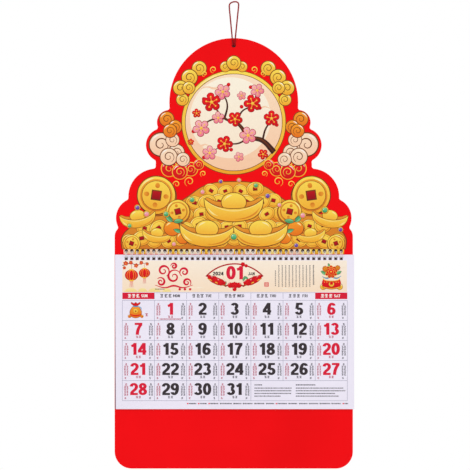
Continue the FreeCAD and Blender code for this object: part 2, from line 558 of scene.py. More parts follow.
def makeSheets(setup):
    # The rear sheet hangs straight; each one in front of it is turned a little more about the wire
    chance = random.Random(setup["seed"])
    merged = bmesh.new()
    merged.from_mesh(frame["nodes"]["month_pages"].data)
    bmesh.ops.remove_doubles(merged, verts=merged.verts, dist=0.000005)
    bmesh.ops.dissolve_limit(merged, angle_limit=0.01, verts=merged.verts, edges=merged.edges)
    outline = bpy.data.meshes.new("sheetOutline")
    merged.to_mesh(outline)
    merged.free()
    pitch = (padHigh.y - padLow.y) / setup["sheets"]
    squeeze = setup["sheetShare"] * pitch / (padHigh.y - padLow.y)
    frontmost = setup["sheets"] - 1
    sheets = []
    for k in range(setup["sheets"]):
        mesh = outline.copy()
        rear = padHigh.y - k * pitch
        mesh.transform(shift(0, rear - padHigh.y * squeeze) @ Matrix.Diagonal((1, squeeze, 1, 1)))
        if k:
            # the leaves are trimmed a little off square, so the rear sheet shows at their left, its grey a
            # painted shadow down the pad's left side
            for vertex in mesh.vertices:
                if vertex.co.x < padLow.x + mm and vertex.co.z < padLow.z + mm:
                    vertex.co.x += setup["trim"]
        if k < frontmost:
            stray = chance.uniform(-1, 1) * setup["strayX"]
            mesh.transform(shift(stray, 0, -chance.random() * setup["strayZ"]))
        mesh.transform(sheetTurn(setup["fanDegrees"] * k / frontmost))
        sheets.append(addObject("month_sheet", mesh))
    return sheets, rear - setup["sheetShare"] * pitch


pageSheets, frontFace = makeSheets(padSetup)
rearShadowSheet, sheetStack = pageSheets[:2]
selectOnly(*reversed(pageSheets[1:]))
bpy.ops.object.join()
# the rear sheet takes the grey of painted shadow, the others the paper
for piece, name, paper in ((rearShadowSheet, "backing_sheet", "shadowGrey"), (sheetStack, "month_sheets", "paper")):
    piece.name = name
    material = makePaperMaterial(paper + "Sheet", padSetup[paper], padSetup[paper + "Shade"])
    finishPiece(piece, material, "pages")
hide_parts("month_pages")
print("month sheets made")


# Printing inks: upper colour, lower colour and roughness

inks = {
    "gold": ((255, 224, 88), (243, 168, 44), 0.42),
    "paleGold": ((255, 243, 178), (254, 220, 120), 0.42),
    "amber": ((240, 160, 50), (212, 120, 34), 0.42),
    "orange": ((250, 162, 44), (232, 112, 26), 0.42),
    "brownLine": ((120, 62, 26), (98, 46, 22), 0.45),
    "darkBrown": ((88, 46, 32), (58, 28, 22), 0.45),
    "cream": ((255, 246, 226), (252, 226, 198), 0.42),
    "peach": ((254, 226, 196), (251, 204, 168), 0.42),
    "red": ((240, 24, 32), (208, 10, 20), 0.4),
    "deepRed": ((186, 14, 26), (150, 8, 20), 0.42),
    "pink": ((252, 186, 190), (240, 120, 142), 0.42),
    "jade": ((132, 214, 150), (26, 142, 88), 0.38),
    "violet": ((150, 108, 200), (84, 52, 142), 0.4),
    "white": ((255, 253, 248), (250, 240, 228), 0.42),
    "banner": ((254, 240, 222), (252, 227, 199), 0.5),
    "bannerGold": ((250, 232, 170), (246, 220, 140), 0.5),
    "digitGrey": ((56, 49, 53), (51, 44, 48), 0.5),
    "digitRed": ((221, 29, 59), (214, 25, 53), 0.5),
    "ruleGrey": ((132, 130, 158), (126, 124, 152), 0.5),
    "markGrey": ((68, 65, 76), (60, 57, 68), 0.5),
    "markRed": ((182, 44, 78), (172, 38, 70), 0.5),
    "skyBlue": ((120, 176, 214), (70, 132, 190), 0.45),
}
inkMaterials = {}


def inkMaterial(name):
    if name not in inkMaterials:
        upper, lower, roughness = inks[name]
        material, tree, bsdf = newMaterial(name + "Ink")
        colours = {"Upper": inkColour(*upper), "Lower": inkColour(*lower)}
        tone = addNode(tree, "Group", colours, node_tree=toneGroup).outputs
        wire(tree, bsdf, {
            "Base Color": tone["Color"],
            "Roughness": mapped(tree, tone["Height"], roughness - 0.06, roughness + 0.08),
            "Specular IOR Level": 0.12,
            "Normal": bump(tree, tone["Height"], 0.12, 0.00005),
        })
        inkMaterials[name] = material
    return inkMaterials[name]


# Print maker. A motif is a list of parts, (ink, flat mesh in millimetres), in the order they are printed.
# Each part lies one layer above whatever it covers in a grid of cells, so no two inks share a height.

printSetup = {"layerStep": 0.006, "inkThickness": 0.01, "curveSteps": 6, "cell": 2.5}
toPlane = Matrix(((1, 0, 0, 0), (0, 0, -1, 0), (0, 1, 0, 0), (0, 0, 0, 1))) @ Matrix.Scale(mm, 4)
headerPlane = shift(0, boardLow.y, wireAxis.z) @ toPlane
pagePlane = sheetTurn(padSetup["fanDegrees"]) @ shift(0, frontFace, wireAxis.z) @ toPlane
flat = (1, 1)
printed, topLayer = {}, {}


def newCurve(steps, **settings):
    curve = bpy.data.curves.new("inkShape", "CURVE")
    curve.resolution_u = steps or printSetup["curveSteps"]
    for label, value in settings.items():
        setattr(curve, label, value)
    return curve


def addSpline(curve, points, closed, widths=None):
    # A point of three values is a sharp corner
    spline = curve.splines.new("BEZIER")
    spline.bezier_points.add(len(points) - 1)
    for index, (target, point) in enumerate(zip(spline.bezier_points, points)):
        target.co = (point[0], point[1], 0)
        kind = "AUTO" if len(point) == 2 else "VECTOR"
        target.handle_left_type = target.handle_right_type = kind
        if widths:
            target.radius = widths[index] / 2
    spline.use_cyclic_u = closed


def finishShape(curve, tones):
    # Every ink shape gets one thickness, and a tone that runs from its foot to its top
    mesh = curveMesh(curve)
    half = max(abs(v.co.z) for v in mesh.vertices) or 1
    low = min(v.co.y for v in mesh.vertices)
    height = max(max(v.co.y for v in mesh.vertices) - low, 0.001)
    values = [tones[0] + (tones[1] - tones[0]) * (v.co.y - low) / height for v in mesh.vertices]
    for vertex in mesh.vertices:
        vertex.co.z *= printSetup["inkThickness"] / 2 / half
    mesh.attributes.new("tone", "FLOAT", "POINT").data.foreach_set("value", values)
    mesh.shade_flat()
    return mesh


def fillMesh(outlines, tones=(0, 1), steps=None):
    # One outline, or a list of them, in which an outline inside another is a hole
    curve = newCurve(steps, dimensions="2D", fill_mode="BOTH", extrude=printSetup["inkThickness"] / 2)
    for points in outlines if isinstance(outlines[0], list) else [outlines]:
        addSpline(curve, points, True)
    return finishShape(curve, tones)


def barMesh(outlines):
    # Straight-edged shapes of one tone
    return fillMesh(outlines, flat, steps=1)


def lineMesh(points, widths, closed=False, tones=(0, 1), steps=None):
    widths = widths if isinstance(widths, list) else [widths] * len(points)
    curve = newCurve(
        steps, dimensions="3D", twist_mode="Z_UP", bevel_depth=1, bevel_resolution=0, use_fill_caps=True)
    addSpline(curve, points, closed, widths)
    return finishShape(curve, tones)


def cutBelow(mesh, height):
    # Trims a shape along a level line and closes the cut
    trimmed = bmesh.new()
    trimmed.from_mesh(mesh)
    everything = trimmed.verts[:] + trimmed.edges[:] + trimmed.faces[:]
    cut = bmesh.ops.bisect_plane(
        trimmed, geom=everything, plane_co=(0, height, 0), plane_no=(0, -1, 0), clear_outer=True, dist=0.0001)
    edges = [item for item in cut["geom_cut"] if isinstance(item, bmesh.types.BMEdge)]
    bmesh.ops.edgeloop_fill(trimmed, edges=edges)
    trimmed.to_mesh(mesh)
    trimmed.free()


def paint(ink, mesh, place=None, floor=None):
    copy = mesh.copy()
    if place is not None:
        copy.transform(place)
    if floor is not None and min(v.co.y for v in copy.vertices) < floor:
        cutBelow(copy, floor)
    if not copy.polygons:
        return
    covered = set()
    for face in copy.polygons:
        cells = []
        for axis in (0, 1):
            reach = [copy.vertices[i].co[axis] // printSetup["cell"] for i in face.vertices]
            cells.append(range(int(min(reach)), int(max(reach)) + 1))
        covered.update((column, row) for column in cells[0] for row in cells[1])
    layer = 1 + max(topLayer.get(spot, 0) for spot in covered)
    topLayer.update(dict.fromkeys(covered, layer))
    lift = layer * printSetup["layerStep"] - printSetup["inkThickness"] / 2
    printed.setdefault(ink, []).append((copy, lift))


def moved(motif, place):
    parts = [(ink, mesh.copy()) for ink, mesh in motif]
    for ink, mesh in parts:
        mesh.transform(place)
    return parts


def stamp(motif, x, y, size=1.0, turn=0.0, flip=False, squash=1.0, floor=None):
    place = shift(x, y) @ spin(turn) @ Matrix.Diagonal((size, size * squash, 1, 1))
    for ink, mesh in moved(motif, Matrix.Diagonal((-1, 1, 1, 1))) if flip else motif:
        if flip:
            mesh.flip_normals()
        paint(ink, mesh, place, floor)


def joinPrinted(name, plane, body):
    # Lays what has been painted on its plane, as one piece for each ink
    for ink, layers in printed.items():
        for mesh, lift in layers:
            mesh.transform(plane @ shift(0, 0, lift))
        parts = [addObject("inkPart", mesh) for mesh, lift in layers]
        selectOnly(*parts)
        if len(parts) > 1:
            bpy.ops.object.join()
        piece = parts[-1]
        piece.name = piece.data.name = name + "_print_" + ink
        finishPiece(piece, inkMaterial(ink), body)
    print(name, "layers:", max(topLayer.values()))
    printed.clear()
    topLayer.clear()


# Shapes that several motifs use


def ringPoints(x, y, radiusX, radiusY=None, start=0.0, sweep=360.0, count=12):
    radiusY = radiusX if radiusY is None else radiusY
    last = count if abs(sweep) >= 360 else count - 1
    angles = [radians(start + sweep * i / last) for i in range(count)]
    return [(x + radiusX * cos(a), y + radiusY * sin(a)) for a in angles]


def sharp(points):
    return [(point[0], point[1], 0) for point in points]


def box(left, low, right, high):
    return [(left, low, 0), (right, low, 0), (right, high, 0), (left, high, 0)]


def line(ink, points, widths, **settings):
    return [(ink, lineMesh(points, widths, **settings))]


def fill(ink, outlines, **settings):
    return [(ink, fillMesh(outlines, **settings))]


def outlined(points, ink, edge="brownLine", width=1.0, tones=(0, 1)):
    return fill(ink, points, tones=tones) + line(edge, points, width, closed=True)


def spiral(x, y, radius, turns, start, inner=0.18, count=14):
    points = []
    for i in range(count):
        share = i / (count - 1)
        angle = radians(start) + turns * 2 * pi * share
        reach = radius * (1 - (1 - inner) * share)
        points.append((x + reach * cos(angle), y + reach * sin(angle)))
    return points


def mirrored(points):
    return [(-point[0],) + tuple(point[1:]) for point in points]


def facing(points, side):
    return points if side > 0 else mirrored(points)


def driftPoints(x, y, half, first, second):
    # A thin cloud: one line with two low rises
    return [(x - half, y), (x - half / 2, y + first), (x, y), (x + half / 2, y + second), (x + half, y)]


def tapered(count, widest, thinnest=0.3, peak=0.35):
    shares = [i / (count - 1) for i in range(count)]
    return [
        thinnest + (widest - thinnest) * (s / peak if s < peak else (1 - s) / (1 - peak)) for s in shares
    ]


def lobedRing(radius, lobes, depth, count=40):
    points = []
    for i in range(count):
        angle = 2 * pi * i / count
        reach = radius * (1 - depth + depth * abs(cos(lobes * angle / 2)) ** 0.7)
        points.append((reach * cos(angle + pi / 2), reach * sin(angle + pi / 2)))
    return points


# Motifs, each drawn once about its own middle


def makeCoin(detailed=True):
    parts = outlined(ringPoints(1.8, -2.0, 30), "amber", width=1.2) if detailed else []
    parts += outlined(ringPoints(0, 0, 30), "gold", width=1.4)
    parts += line("amber", ringPoints(0, 0, 24), 2.4, closed=True)
    parts += fill("brownLine", box(-8, -8, 8, 8))
    parts += fill("deepRed", box(-6.2, -6.2, 6.2, 6.2))
    parts += line("paleGold", ringPoints(0, 0, 27, start=104, sweep=62, count=6), tapered(6, 2.8))
    if detailed:
        parts += line("brownLine", ringPoints(0, 0, 22.4), 0.7, closed=True)
        diamond = fill("amber", [(0, 11.4), (3.6, 14.6), (0, 19.6), (-3.6, 14.6)])
        for turn in (0, 90, 180, 270):
            parts += moved(diamond, spin(turn))
    return parts


def makeIngot():
    hull = [(-50, 31, 0), (-34, 20), (-14, 14.5), (0, 13.5), (14, 14.5), (34, 20), (50, 31, 0),
            (47, 14), (36, 0), (16, -7), (0, -8.5), (-16, -7), (-36, 0), (-47, 14)]
    hollow = [(-48, 30), (-30, 26), (0, 24), (30, 26), (48, 30), (30, 18), (0, 11), (-30, 18)]
    parts = outlined(hollow, "amber", width=0.9)
    parts += outlined(ringPoints(0, 24, 21, 16), "gold", width=1.1)
    parts += line("paleGold", ringPoints(0, 24, 16, 12, 100, 70, 6), tapered(6, 3.0))
    parts += outlined(hull, "gold", width=1.2)
    rim = [(-45, 25), (-30, 16.5), (-12, 10.8), (0, 9.8), (12, 10.8), (30, 16.5), (45, 25)]
    parts += line("paleGold", rim, tapered(7, 2.4, peak=0.5))
    parts += line("amber", [(44, 16), (36, 6), (20, -2), (2, -4.5)], tapered(4, 3.2))
    parts += line("paleGold", [(-43, 14), (-36, 6), (-26, 1)], tapered(3, 3.0, peak=0.5))
    return parts


def makeBead(ink):
    parts = outlined(ringPoints(0, 0, 10), "gold", width=0.9)
    parts += outlined(ringPoints(0, 0, 7.2), ink, width=0.8)
    parts += line("white", ringPoints(0, 0, 4.4, start=112, sweep=58, count=5), tapered(5, 2.2))
    return parts


def makeBlossom(ink):
    # Five round petals, 10 mm from the heart to a petal's tip
    parts = outlined(lobedRing(10, 5, 0.36), ink, "deepRed", 0.7)
    for i in range(5):
        angle = radians(90 + 36 + 72 * i)
        parts += line("deepRed", [(r * cos(angle), r * sin(angle)) for r in (2.2, 5.6)], [0.7, 0.3])
    for i in range(5):
        angle = radians(90 + 72 * i)
        tip = (4.9 * cos(angle), 4.9 * sin(angle))
        parts += line("gold", [(1.6 * cos(angle), 1.6 * sin(angle)), tip], 0.5, steps=1)
        parts += fill("gold", ringPoints(tip[0] * 1.18, tip[1] * 1.18, 0.85, count=6), steps=2)
    return parts + fill("gold", ringPoints(0, 0, 1.7, count=8))


def makePeony(ink, edge):
    # Three rings of petals, one on the other
    parts = []
    for radius, lobes, tones in ((10, 9, (0, 0.5)), (7.2, 7, (0.2, 0.8)), (4.4, 5, (0.5, 1))):
        parts += outlined(lobedRing(radius, lobes, 0.2, count=54), ink, edge, 0.5, tones)
    return parts + fill(edge, ringPoints(0, 0, 1.3, count=6))


def makeLeaf():
    blade = [(0, 0, 0), (4, 2.6), (9, 2.2), (13, 0, 0), (9, -2.4), (4, -2.4)]
    return outlined(blade, "jade", width=0.5) + line("brownLine", [(1, 0), (11, 0)], [0.5, 0.2])


def makeMandarin():
    parts = outlined(ringPoints(0, 0, 10, 9.2), "orange", width=0.7)
    parts += line("paleGold", ringPoints(0, 0, 7.4, 6.8, 112, 54, 5), tapered(5, 1.8))
    for turn in (20, 150):
        parts += moved(makeLeaf(), shift(0, 8) @ spin(turn))
    return parts


def makeCurl(ink, edge="brownLine"):
    # One round head of a scroll cloud, 10 mm in radius
    parts = fill(edge, ringPoints(0, 0, 10)) + fill(ink, ringPoints(0, 0, 9))
    parts += line(edge, spiral(0, 0, 6.4, 1.35, -60), tapered(14, 1.1, 0.4))
    return parts + line("white", ringPoints(0, 0, 7.8, start=100, sweep=64, count=6), tapered(6, 1.2))


# Header: a moon with plum blossom, scroll clouds at its sides, and a heap of gold at its foot

headerSetup = {
    "moon": {
        "centre": (0, 203), "radius": 74, "rim": 5.5,
        # thin clouds across it: place from its centre and half length
        "drifts": [(-30, 52, 20), (26, -58, 24), (40, 22, 15), (-50, -36, 12)],
    },
    "goldClouds": [(53, 286, 12), (79, 238, 10), (68, 272, 13), (82, 256, 12), (69, 256, 10)],
    "orangeClouds": [(103, 208, 12), (90, 196, 11), (98, 190, 11)],
    "peachClouds": [(112, 169, 19), (88, 157, 13), (100, 150, 14), (94, 176, 11), (78, 146, 11)],
    "redClouds": [(99, 132, 13), (66, 131, 11), (83, 127, 12), (54, 138, 8)],
    "scrolls": [(68, 112, 8), (88, 108, 6), (47, 124, 5)],
    "heapTop": [(172, 26), (158, 42), (128, 56), (100, 70), (72, 88), (44, 106), (0, 112)],
    # one row of coins: height, half width, how many, radius
    "coinRows": [(100, 34, 4, 12), (82, 62, 7, 13), (63, 92, 10, 12), (43, 136, 14, 13), (23, 160, 17, 13)],
    # where the heap ends and where the picture ends
    "floor": 8.4, "foot": 0.6,
    "seed": 7,
}
holeSetup = {
    # heights of the board's two rows, and what shows round them: the holes, and painted shade in rings round
    # the upper row and in a strip behind the lower row
    "header": 5.54, "page": -3.79, "radius": 2.1, "clear": 0.05, "holeShade": 0.55, "strip": (-9.5, -0.8),
    # the page's square holes: height, half width, and the painted shade round them
    "punchRow": -6.1, "punch": 2.0, "punchClear": 0.02, "punchShade": 0.45,
}


def printMoon(spot):
    (x, y), radius, rim = spot["centre"], spot["radius"], spot["rim"]
    for ink, spare in (("brownLine", rim + 1), ("gold", rim), ("brownLine", 0.9), ("peach", 0)):
        paint(ink, fillMesh(ringPoints(x, y, radius + spare, count=24)))
    paint("cream", fillMesh(ringPoints(x - 5, y + 7, radius * 0.84, count=24), (0.3, 1)))
    shine = ringPoints(x, y, radius + rim / 2, start=100, sweep=50, count=9)
    paint("paleGold", lineMesh(shine, tapered(9, 2.6)))
    for dx, dy, half in spot["drifts"]:
        drift = driftPoints(x + dx, y + dy, half, 2.4, 2)
        paint("peach", lineMesh(drift, tapered(5, 3.4, 0.8, peak=0.5), tones=(0, 0.2)))


def printBranch(x, y):
    # A plum branch that climbs from the lower right to the upper left
    trunk = [(62, -46), (44, -28), (24, -22), (6, -2), (-14, 6), (-34, 30)]
    twigs = [
        [(24, -22), (8, -32), (-14, -34), (-34, -46)], [(6, -2), (12, 16), (30, 28), (34, 46)],
        [(-14, 6), (-34, 4), (-52, -8)], [(44, -28), (50, -8), (60, 4)], [(-14, 6), (-10, 28), (-18, 46)],
    ]
    here = shift(x, y)
    for twig in twigs:
        paint("darkBrown", lineMesh(twig, [3.4, 2.6, 1.8, 1.2][:len(twig)]), here)
    paint("darkBrown", lineMesh(trunk, [9.0, 7.6, 6.6, 5.0, 3.8, 1.4]), here)
    bark = [(px - 1, py + 1.2) for px, py in trunk]
    paint("brownLine", lineMesh(bark, [1.6, 2.4, 1.2, 1.8, 1.0, 0.4]), here)
    bud = outlined(ringPoints(0, 0, 2.6, count=8), "red", "deepRed", 0.6)
    for dx, dy in (
        (-46, 36), (-62, -14), (26, 54), (40, 22), (-4, -42), (-46, -54), (66, -4), (-8, 58), (12, 24),
    ):
        stamp(bud, x + dx, y + dy)
    red, pink = makeBlossom("red"), makeBlossom("pink")
    for motif, dx, dy, size, turn in (
        (red, -34, 31, 1.45, 10), (pink, -50, -9, 1.3, 30), (red, -14, -33, 1.25, 50),
        (pink, -37, -47, 1.1, 0), (red, 29, 29, 1.35, 20), (pink, 36, 49, 1.05, 45), (red, 58, 6, 1.2, 0),
        (pink, 22, -20, 1.3, 15), (pink, -17, 47, 1.2, 25), (red, 2, 5, 1.15, 40), (pink, -24, 7, 0.95, 5),
        (red, -57, 14, 0.7, 5), (pink, 12, 41, 0.7, 12), (red, 45, -49, 0.8, 30), (pink, 8, -53, 0.75, 20),
        (red, -66, -30, 0.5, 0),
    ):
        stamp(motif, x + dx, y + dy, size, turn)


def printCrest(x, y, reach):
    # A cloud head of three scrolls above the moon, with smaller scrolls to each side
    curl = makeCurl("gold")
    for dx, dy, size in ((-13, 6, 0.85), (13, 6, 0.85), (0, 12, 1.15)):
        stamp(curl, x + dx, y + reach + dy, size, flip=dx > 0)
    for side in (-1, 1):
        for angle, size in ((21, 5.5), (31, 4.6)):
            turn = radians(90 - side * angle)
            place = shift(x + (reach + 7.5) * cos(turn), y + (reach + 7.5) * sin(turn))
            paint("gold", lineMesh(facing(spiral(0, 0, size, 1.3, -90), side), tapered(14, 1.7, 0.6)), place)


def printClouds(setup):
    for name, ink, edge in (
        ("redClouds", "red", "gold"), ("peachClouds", "peach", "brownLine"),
        ("orangeClouds", "orange", "brownLine"), ("goldClouds", "gold", "brownLine"),
    ):
        motif = makeCurl(ink, edge)
        for x, y, radius in setup[name]:
            for side in (-1, 1):
                stamp(motif, side * x, y, radius / 10, flip=side > 0)
    for side in (-1, 1):
        for x, y, radius in setup["scrolls"]:
            paint("gold", lineMesh(facing(spiral(x, y, radius, 1.3, -60), side), tapered(14, 1.5, 0.5)))


def printHeap(setup):
    chance = random.Random(setup["seed"])
    floor, right = setup["floor"], setup["heapTop"]
    wide = right[0][0]
    heap = [(-wide, floor, 0), (wide, floor, 0)] + right + mirrored(right[:-1])[::-1]
    for ink, mesh in outlined(heap, "amber", width=1.2):
        paint(ink, mesh)
    small, large, ingot = makeCoin(False), makeCoin(), makeIngot()
    for height, half, count, radius in setup["coinRows"]:
        for i in [*range(0, count, 2), *range(1, count, 2)]:
            x = -half + 2 * half * i / (count - 1) + chance.uniform(-2, 2)
            stamp(small, x, height + chance.uniform(-3, 3), radius / 30 * chance.uniform(0.9, 1.1),
                  chance.uniform(-35, 35), squash=chance.uniform(0.72, 0.95), floor=floor)
    mandarin = makeMandarin()
    for side in (-1, 1):
        for motif, x, y, size, turn in (
            (large, 119, 91, 0.98, 8), (large, 86, 66, 0.6, -14), (large, 157, 17, 0.44, 20),
            (ingot, 146, 46, 0.56, -8), (ingot, 119, 22, 0.46, 6), (mandarin, 95, 40, 1.25, 10),
            (mandarin, 78, 26, 1.05, -12), (ingot, 42, 19, 0.84, 2),
        ):
            stamp(motif, side * x, y, size, turn * side, side > 0, floor=floor)
    stamp(ingot, 0, 58, 0.92)
    jade, pink, violet = makeBead("jade"), makeBead("pink"), makeBead("violet")
    for bead, x, y, size in (
        (jade, -64, 84, 0.5), (pink, -48, 96, 0.42), (violet, 52, 90, 0.46), (jade, 34, 106, 0.44),
        (pink, 70, 76, 0.4), (violet, -20, 112, 0.36), (pink, 8, 114, 0.36), (jade, 140, 68, 0.55),
        (violet, -148, 72, 0.45), (pink, -134, 62, 0.5), (jade, -160, 44, 0.4), (violet, 164, 38, 0.42),
        (pink, 106, 60, 0.5), (jade, -104, 62, 0.5), (jade, 0, 27, 0.62), (pink, -92, 16, 0.4),
        (violet, 96, 14, 0.42),
    ):
        stamp(bead, x, y, size)


def holePanel(left, right, low, high, row):
    # A plain panel of ink with the board's own holes left open in it
    holes = [
        ringPoints(middle / mm, row, holeSetup["radius"] + holeSetup["clear"], count=8)
        for middle in loopMiddles(wireSetup) if left < middle / mm < right
    ]
    return fillMesh([box(left, low, right, high)] + holes, steps=3)


def printBindingEdge(setup):
    # The picture's foot runs through the wire's holes. Dark rings are painted shade round the holes in the
    # header, and a dark strip is painted shade behind the page's holes
    chance = random.Random(setup["seed"])
    middles = [middle / mm for middle in loopMiddles(wireSetup)]
    bounds = [middle - wireSetup["pitch"] / mm / 2 for middle in middles]
    stops = bounds[::2] + [-bounds[0]]
    previous, floor = None, setup["floor"]
    for left, right in zip(stops, stops[1:]):
        ink = chance.choice([name for name in ("gold", "paleGold", "peach", "cream") if name != previous])
        paint(ink, holePanel(left, right, setup["foot"], floor, holeSetup["header"]))
        previous = ink
    paint("brownLine", fillMesh(box(stops[0], floor - 0.4, stops[-1], floor + 0.3)))
    # painted shade: a dark ring round each hole in the header
    for middle in middles:
        rings = [ringPoints(middle, holeSetup["header"], holeSetup["radius"] + r, count=8)
                 for r in (holeSetup["holeShade"], holeSetup["clear"])]
        paint("darkBrown", fillMesh(rings, steps=3))
    # painted shade: a dark strip on the board behind the page's holes, which shows through them
    low, high = holeSetup["strip"]
    paint("darkBrown", holePanel(stops[0] - 3, stops[-1] + 3, low, high, holeSetup["page"]))


printMoon(headerSetup["moon"])
printBranch(*headerSetup["moon"]["centre"])
printClouds(headerSetup)
printCrest(*headerSetup["moon"]["centre"], headerSetup["moon"]["radius"] + headerSetup["moon"]["rim"])
printBindingEdge(headerSetup)
printHeap(headerSetup)
joinPrinted("header", headerPlane, "board")
print("header printed")


# Figures and letters: each one is modelled once from its strokes, in heights of the figure, and copied

figureSetup = {
    "width": 0.58, "stem": 0.235, "bar": 0.185, "letterWeight": 0.8, "widen": 1.16, "advance": 0.74,
    "narrow": {"1": 0.86, "I": 0.5, "J": 0.9, "M": 1.22, "W": 1.3},
    # how many of a figure's first strokes are closed rings
    "rings": {"0": 1, "6": 1, "8": 2, "9": 1, "O": 1},
}


def arcStroke(x, y, radiusX, radiusY, start, end, count=22):
    return ringPoints(x, y, radiusX, radiusY, start, end - start, count)


leftStem = [(0.1, 0.0), (0.1, 1.0)]
rightStem = [(0.48, 0.0), (0.48, 1.0)]
topBar = [(0.1, 0.91), (0.54, 0.91)]
middleBar = [(0.1, 0.5), (0.48, 0.5)]
figureStrokes = {
    "0": [arcStroke(0.29, 0.5, 0.19, 0.415, 0, 350, 36)],
    "1": [[(0.36, 0.0), (0.36, 1.0)], [(0.09, 0.735), (0.22, 0.78), (0.31, 0.85), (0.36, 0.93), (0.36, 1.0)]],
    "2": [arcStroke(0.28, 0.70, 0.19, 0.215, 178, -30)
          + [(0.40, 0.50), (0.33, 0.42), (0.25, 0.345), (0.18, 0.27), (0.135, 0.20), (0.11, 0.13)],
          [(0.01, 0.083), (0.57, 0.083)]],
    "3": [arcStroke(0.27, 0.735, 0.165, 0.18, 165, -88), arcStroke(0.27, 0.275, 0.195, 0.192, 88, -165)],
    "4": [[(0.43, 0.0), (0.43, 1.0)], [(-0.021, 0.285), (0.60, 0.285)], [(0.41, 0.945), (0.08, 0.34)]],
    "5": [[(0.065, 0.917), (0.55, 0.917)], [(0.185, 0.95), (0.125, 0.49)],
          arcStroke(0.28, 0.30, 0.195, 0.217, 135, -165)],
    "6": [arcStroke(0.3, 0.31, 0.19, 0.225, 0, 348, 30),
          [(0.11, 0.30)] + arcStroke(0.33, 0.42, 0.22, 0.495, 180, 96, 14)
          + arcStroke(0.33, 0.76, 0.16, 0.155, 90, 0, 8)],
    "7": [[(0.02, 0.917), (0.575, 0.917)], arcStroke(0.994, 0, 0.784, 1.149, 130, 180, 9)],
    "8": [arcStroke(0.29, 0.735, 0.165, 0.18, 0, 348, 30), arcStroke(0.29, 0.275, 0.195, 0.19, 0, 348, 30)],
    "A": [[(0.03, 0.0), (0.29, 0.97), (0.55, 0.0)], [(0.13, 0.27), (0.45, 0.27)]],
    "D": [leftStem,
          [(0.1, 0.91), (0.2, 0.91)] + arcStroke(0.24, 0.5, 0.24, 0.41, 90, -90, 8) + [(0.1, 0.09)]],
    "E": [leftStem, topBar, middleBar, [(0.1, 0.09), (0.54, 0.09)]],
    "F": [leftStem, topBar, middleBar],
    "H": [leftStem, rightStem, middleBar],
    "I": [[(0.29, 0.0), (0.29, 1.0)]],
    "J": [[(0.42, 1.0), (0.42, 0.4)] + arcStroke(0.24, 0.28, 0.18, 0.19, 0, -165, 7)],
    "M": [[(0.0, 0.0), (0.0, 1.0)], [(0.58, 0.0), (0.58, 1.0)], [(0.02, 0.95), (0.29, 0.3), (0.56, 0.95)]],
    "N": [leftStem, rightStem, [(0.1, 0.95), (0.48, 0.05)]],
    "R": [leftStem,
          [(0.1, 0.91), (0.24, 0.91)] + arcStroke(0.27, 0.69, 0.2, 0.22, 90, -90, 7) + [(0.1, 0.47)],
          [(0.3, 0.47), (0.5, 0.0)]],
    "S": [arcStroke(0.28, 0.71, 0.18, 0.205, 25, 250, 8) + arcStroke(0.28, 0.29, 0.18, 0.205, 70, -155, 8)],
    "T": [[(0.0, 0.91), (0.58, 0.91)], [(0.29, 0.0), (0.29, 0.9)]],
    "U": [[(0.1, 1.0), (0.1, 0.4)] + arcStroke(0.29, 0.3, 0.19, 0.21, 180, 360, 8)
          + [(0.48, 0.4), (0.48, 1.0)]],
    "W": [[(x, 1.0), (x + 0.17, 0.0)] for x in (-0.08, 0.29)]
    + [[(x, 0.0), (x + 0.2, 1.0)] for x in (0.09, 0.46)],
}
figureStrokes["9"] = [[(figureSetup["width"] - x, 1 - y) for x, y in points] for points in figureStrokes["6"]]
figureStrokes["O"] = figureStrokes["0"]


def strokeMesh(points, closed, weight):
    # A flat pen's stroke: wide where it runs upright, narrower where it runs level, with square ends
    left, right = [], []
    last = len(points) - 1
    for i, (x, y) in enumerate(points):
        before = points[i - 1] if i or closed else points[i]
        after = points[(i + 1) % len(points)] if i < last or closed else points[i]
        inward = Vector((x - before[0], y - before[1])).normalized()
        onward = Vector((after[0] - x, after[1] - y)).normalized()
        ahead = (inward + onward).normalized()
        if not closed and i in (0, last):
            ahead = onward if i == 0 else inward
        # a sharp turn widens the pen a little and no more
        spread = max(0.6, ahead.dot(onward if i < last or closed else inward))
        width = figureSetup["bar"] + (figureSetup["stem"] - figureSetup["bar"]) * abs(ahead.y)
        reach = weight * width / 2 / spread
        left.append((x - ahead.y * reach, y + ahead.x * reach))
        right.append((x + ahead.y * reach, y - ahead.x * reach))
    outlines = [sharp(left), sharp(right)] if closed else [sharp(left + right[::-1])]
    return barMesh(outlines)


figures = {}
for name, strokes in figureStrokes.items():
    weight, rings = 1 if name.isdigit() else figureSetup["letterWeight"], figureSetup["rings"].get(name, 0)
    figures[name] = [strokeMesh(points, i < rings, weight) for i, points in enumerate(strokes)]


def printWords(words, x, top, height, ink):
    advance = figureSetup["advance"] * height
    widths = [advance * figureSetup["narrow"].get(c, 1) for c in words]
    left = x - sum(widths) / 2
    for figure, width in zip(words, widths):
        middle = left + width / 2 - figureSetup["width"] / 2 * height * figureSetup["widen"]
        place = shift(middle, top - height) @ Matrix.Diagonal((height * figureSetup["widen"], height, 1, 1))
        for mesh in figures[figure]:
            paint(ink, mesh, place)
        left += width


# Month page: a banner, the row of weekdays, and five rows of days

